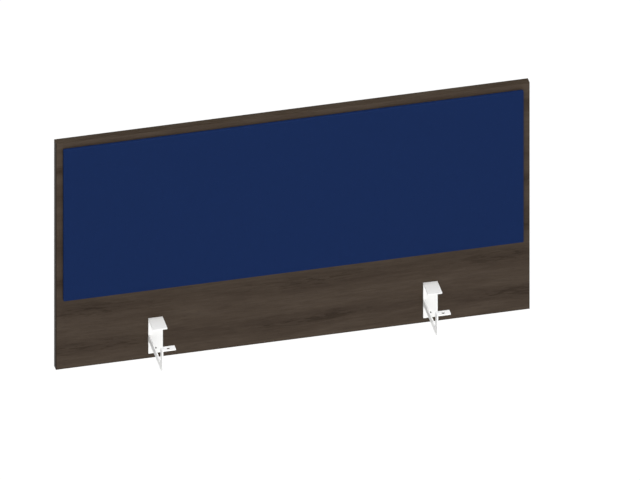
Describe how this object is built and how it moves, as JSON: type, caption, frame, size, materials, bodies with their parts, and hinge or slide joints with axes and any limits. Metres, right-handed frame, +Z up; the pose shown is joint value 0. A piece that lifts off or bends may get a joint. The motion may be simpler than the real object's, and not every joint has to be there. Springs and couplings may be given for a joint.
{
  "type": "desk privacy panel",
  "caption": "Wood-grain privacy and modesty panel with a blue fabric tackboard, held on a desk's rear edge by two white steel brackets that reach under its top.",
  "frame": {"origin": "on the board's front face, at the middle of its width, level with the underside of the desk top", "axes": "+X along the desk edge, -Y towards the person at the desk, +Z up"},
  "size_m": [1.524, 0.2159, 0.851],
  "materials": {
    "wood_face": "dark brown wood-grain laminate, satin, grain along X",
    "wood_edge": "dark brown wood-grain edge band, satin",
    "tack_fabric": "navy blue panel fabric, plain weave",
    "fibreboard": "raw fibreboard",
    "hook_and_loop": "black nylon hook-and-loop",
    "white_paint": "white powder coat, satin",
    "black_screw": "black oxide"
  },
  "bodies": {
    "root": {"arm_weld_left": "white_paint", "arm_weld_right": "white_paint", "board_core": "wood_face", "bracket_plate_left": "white_paint", "bracket_plate_right": "white_paint", "edge_band_bottom": "wood_edge", "edge_band_left": "wood_edge", "edge_band_right": "wood_edge", "edge_band_top": "wood_edge", "hook_pad_1": "hook_and_loop", "hook_pad_2": "hook_and_loop", "hook_pad_3": "hook_and_loop", "hook_pad_4": "hook_and_loop", "hook_pad_5": "hook_and_loop", "hook_pad_6": "hook_and_loop", "loop_pad_1": "hook_and_loop", "loop_pad_2": "hook_and_loop", "loop_pad_3": "hook_and_loop", "loop_pad_4": "hook_and_loop", "loop_pad_5": "hook_and_loop", "loop_pad_6": "hook_and_loop", "plate_screw_left_lower": "black_screw", "plate_screw_left_upper": "black_screw", "plate_screw_right_lower": "black_screw", "plate_screw_right_upper": "black_screw", "support_arm_left": "white_paint", "support_arm_right": "white_paint", "tackboard_core": "fibreboard", "tackboard_fabric": "tack_fabric"}
  },
  "joints": []
}
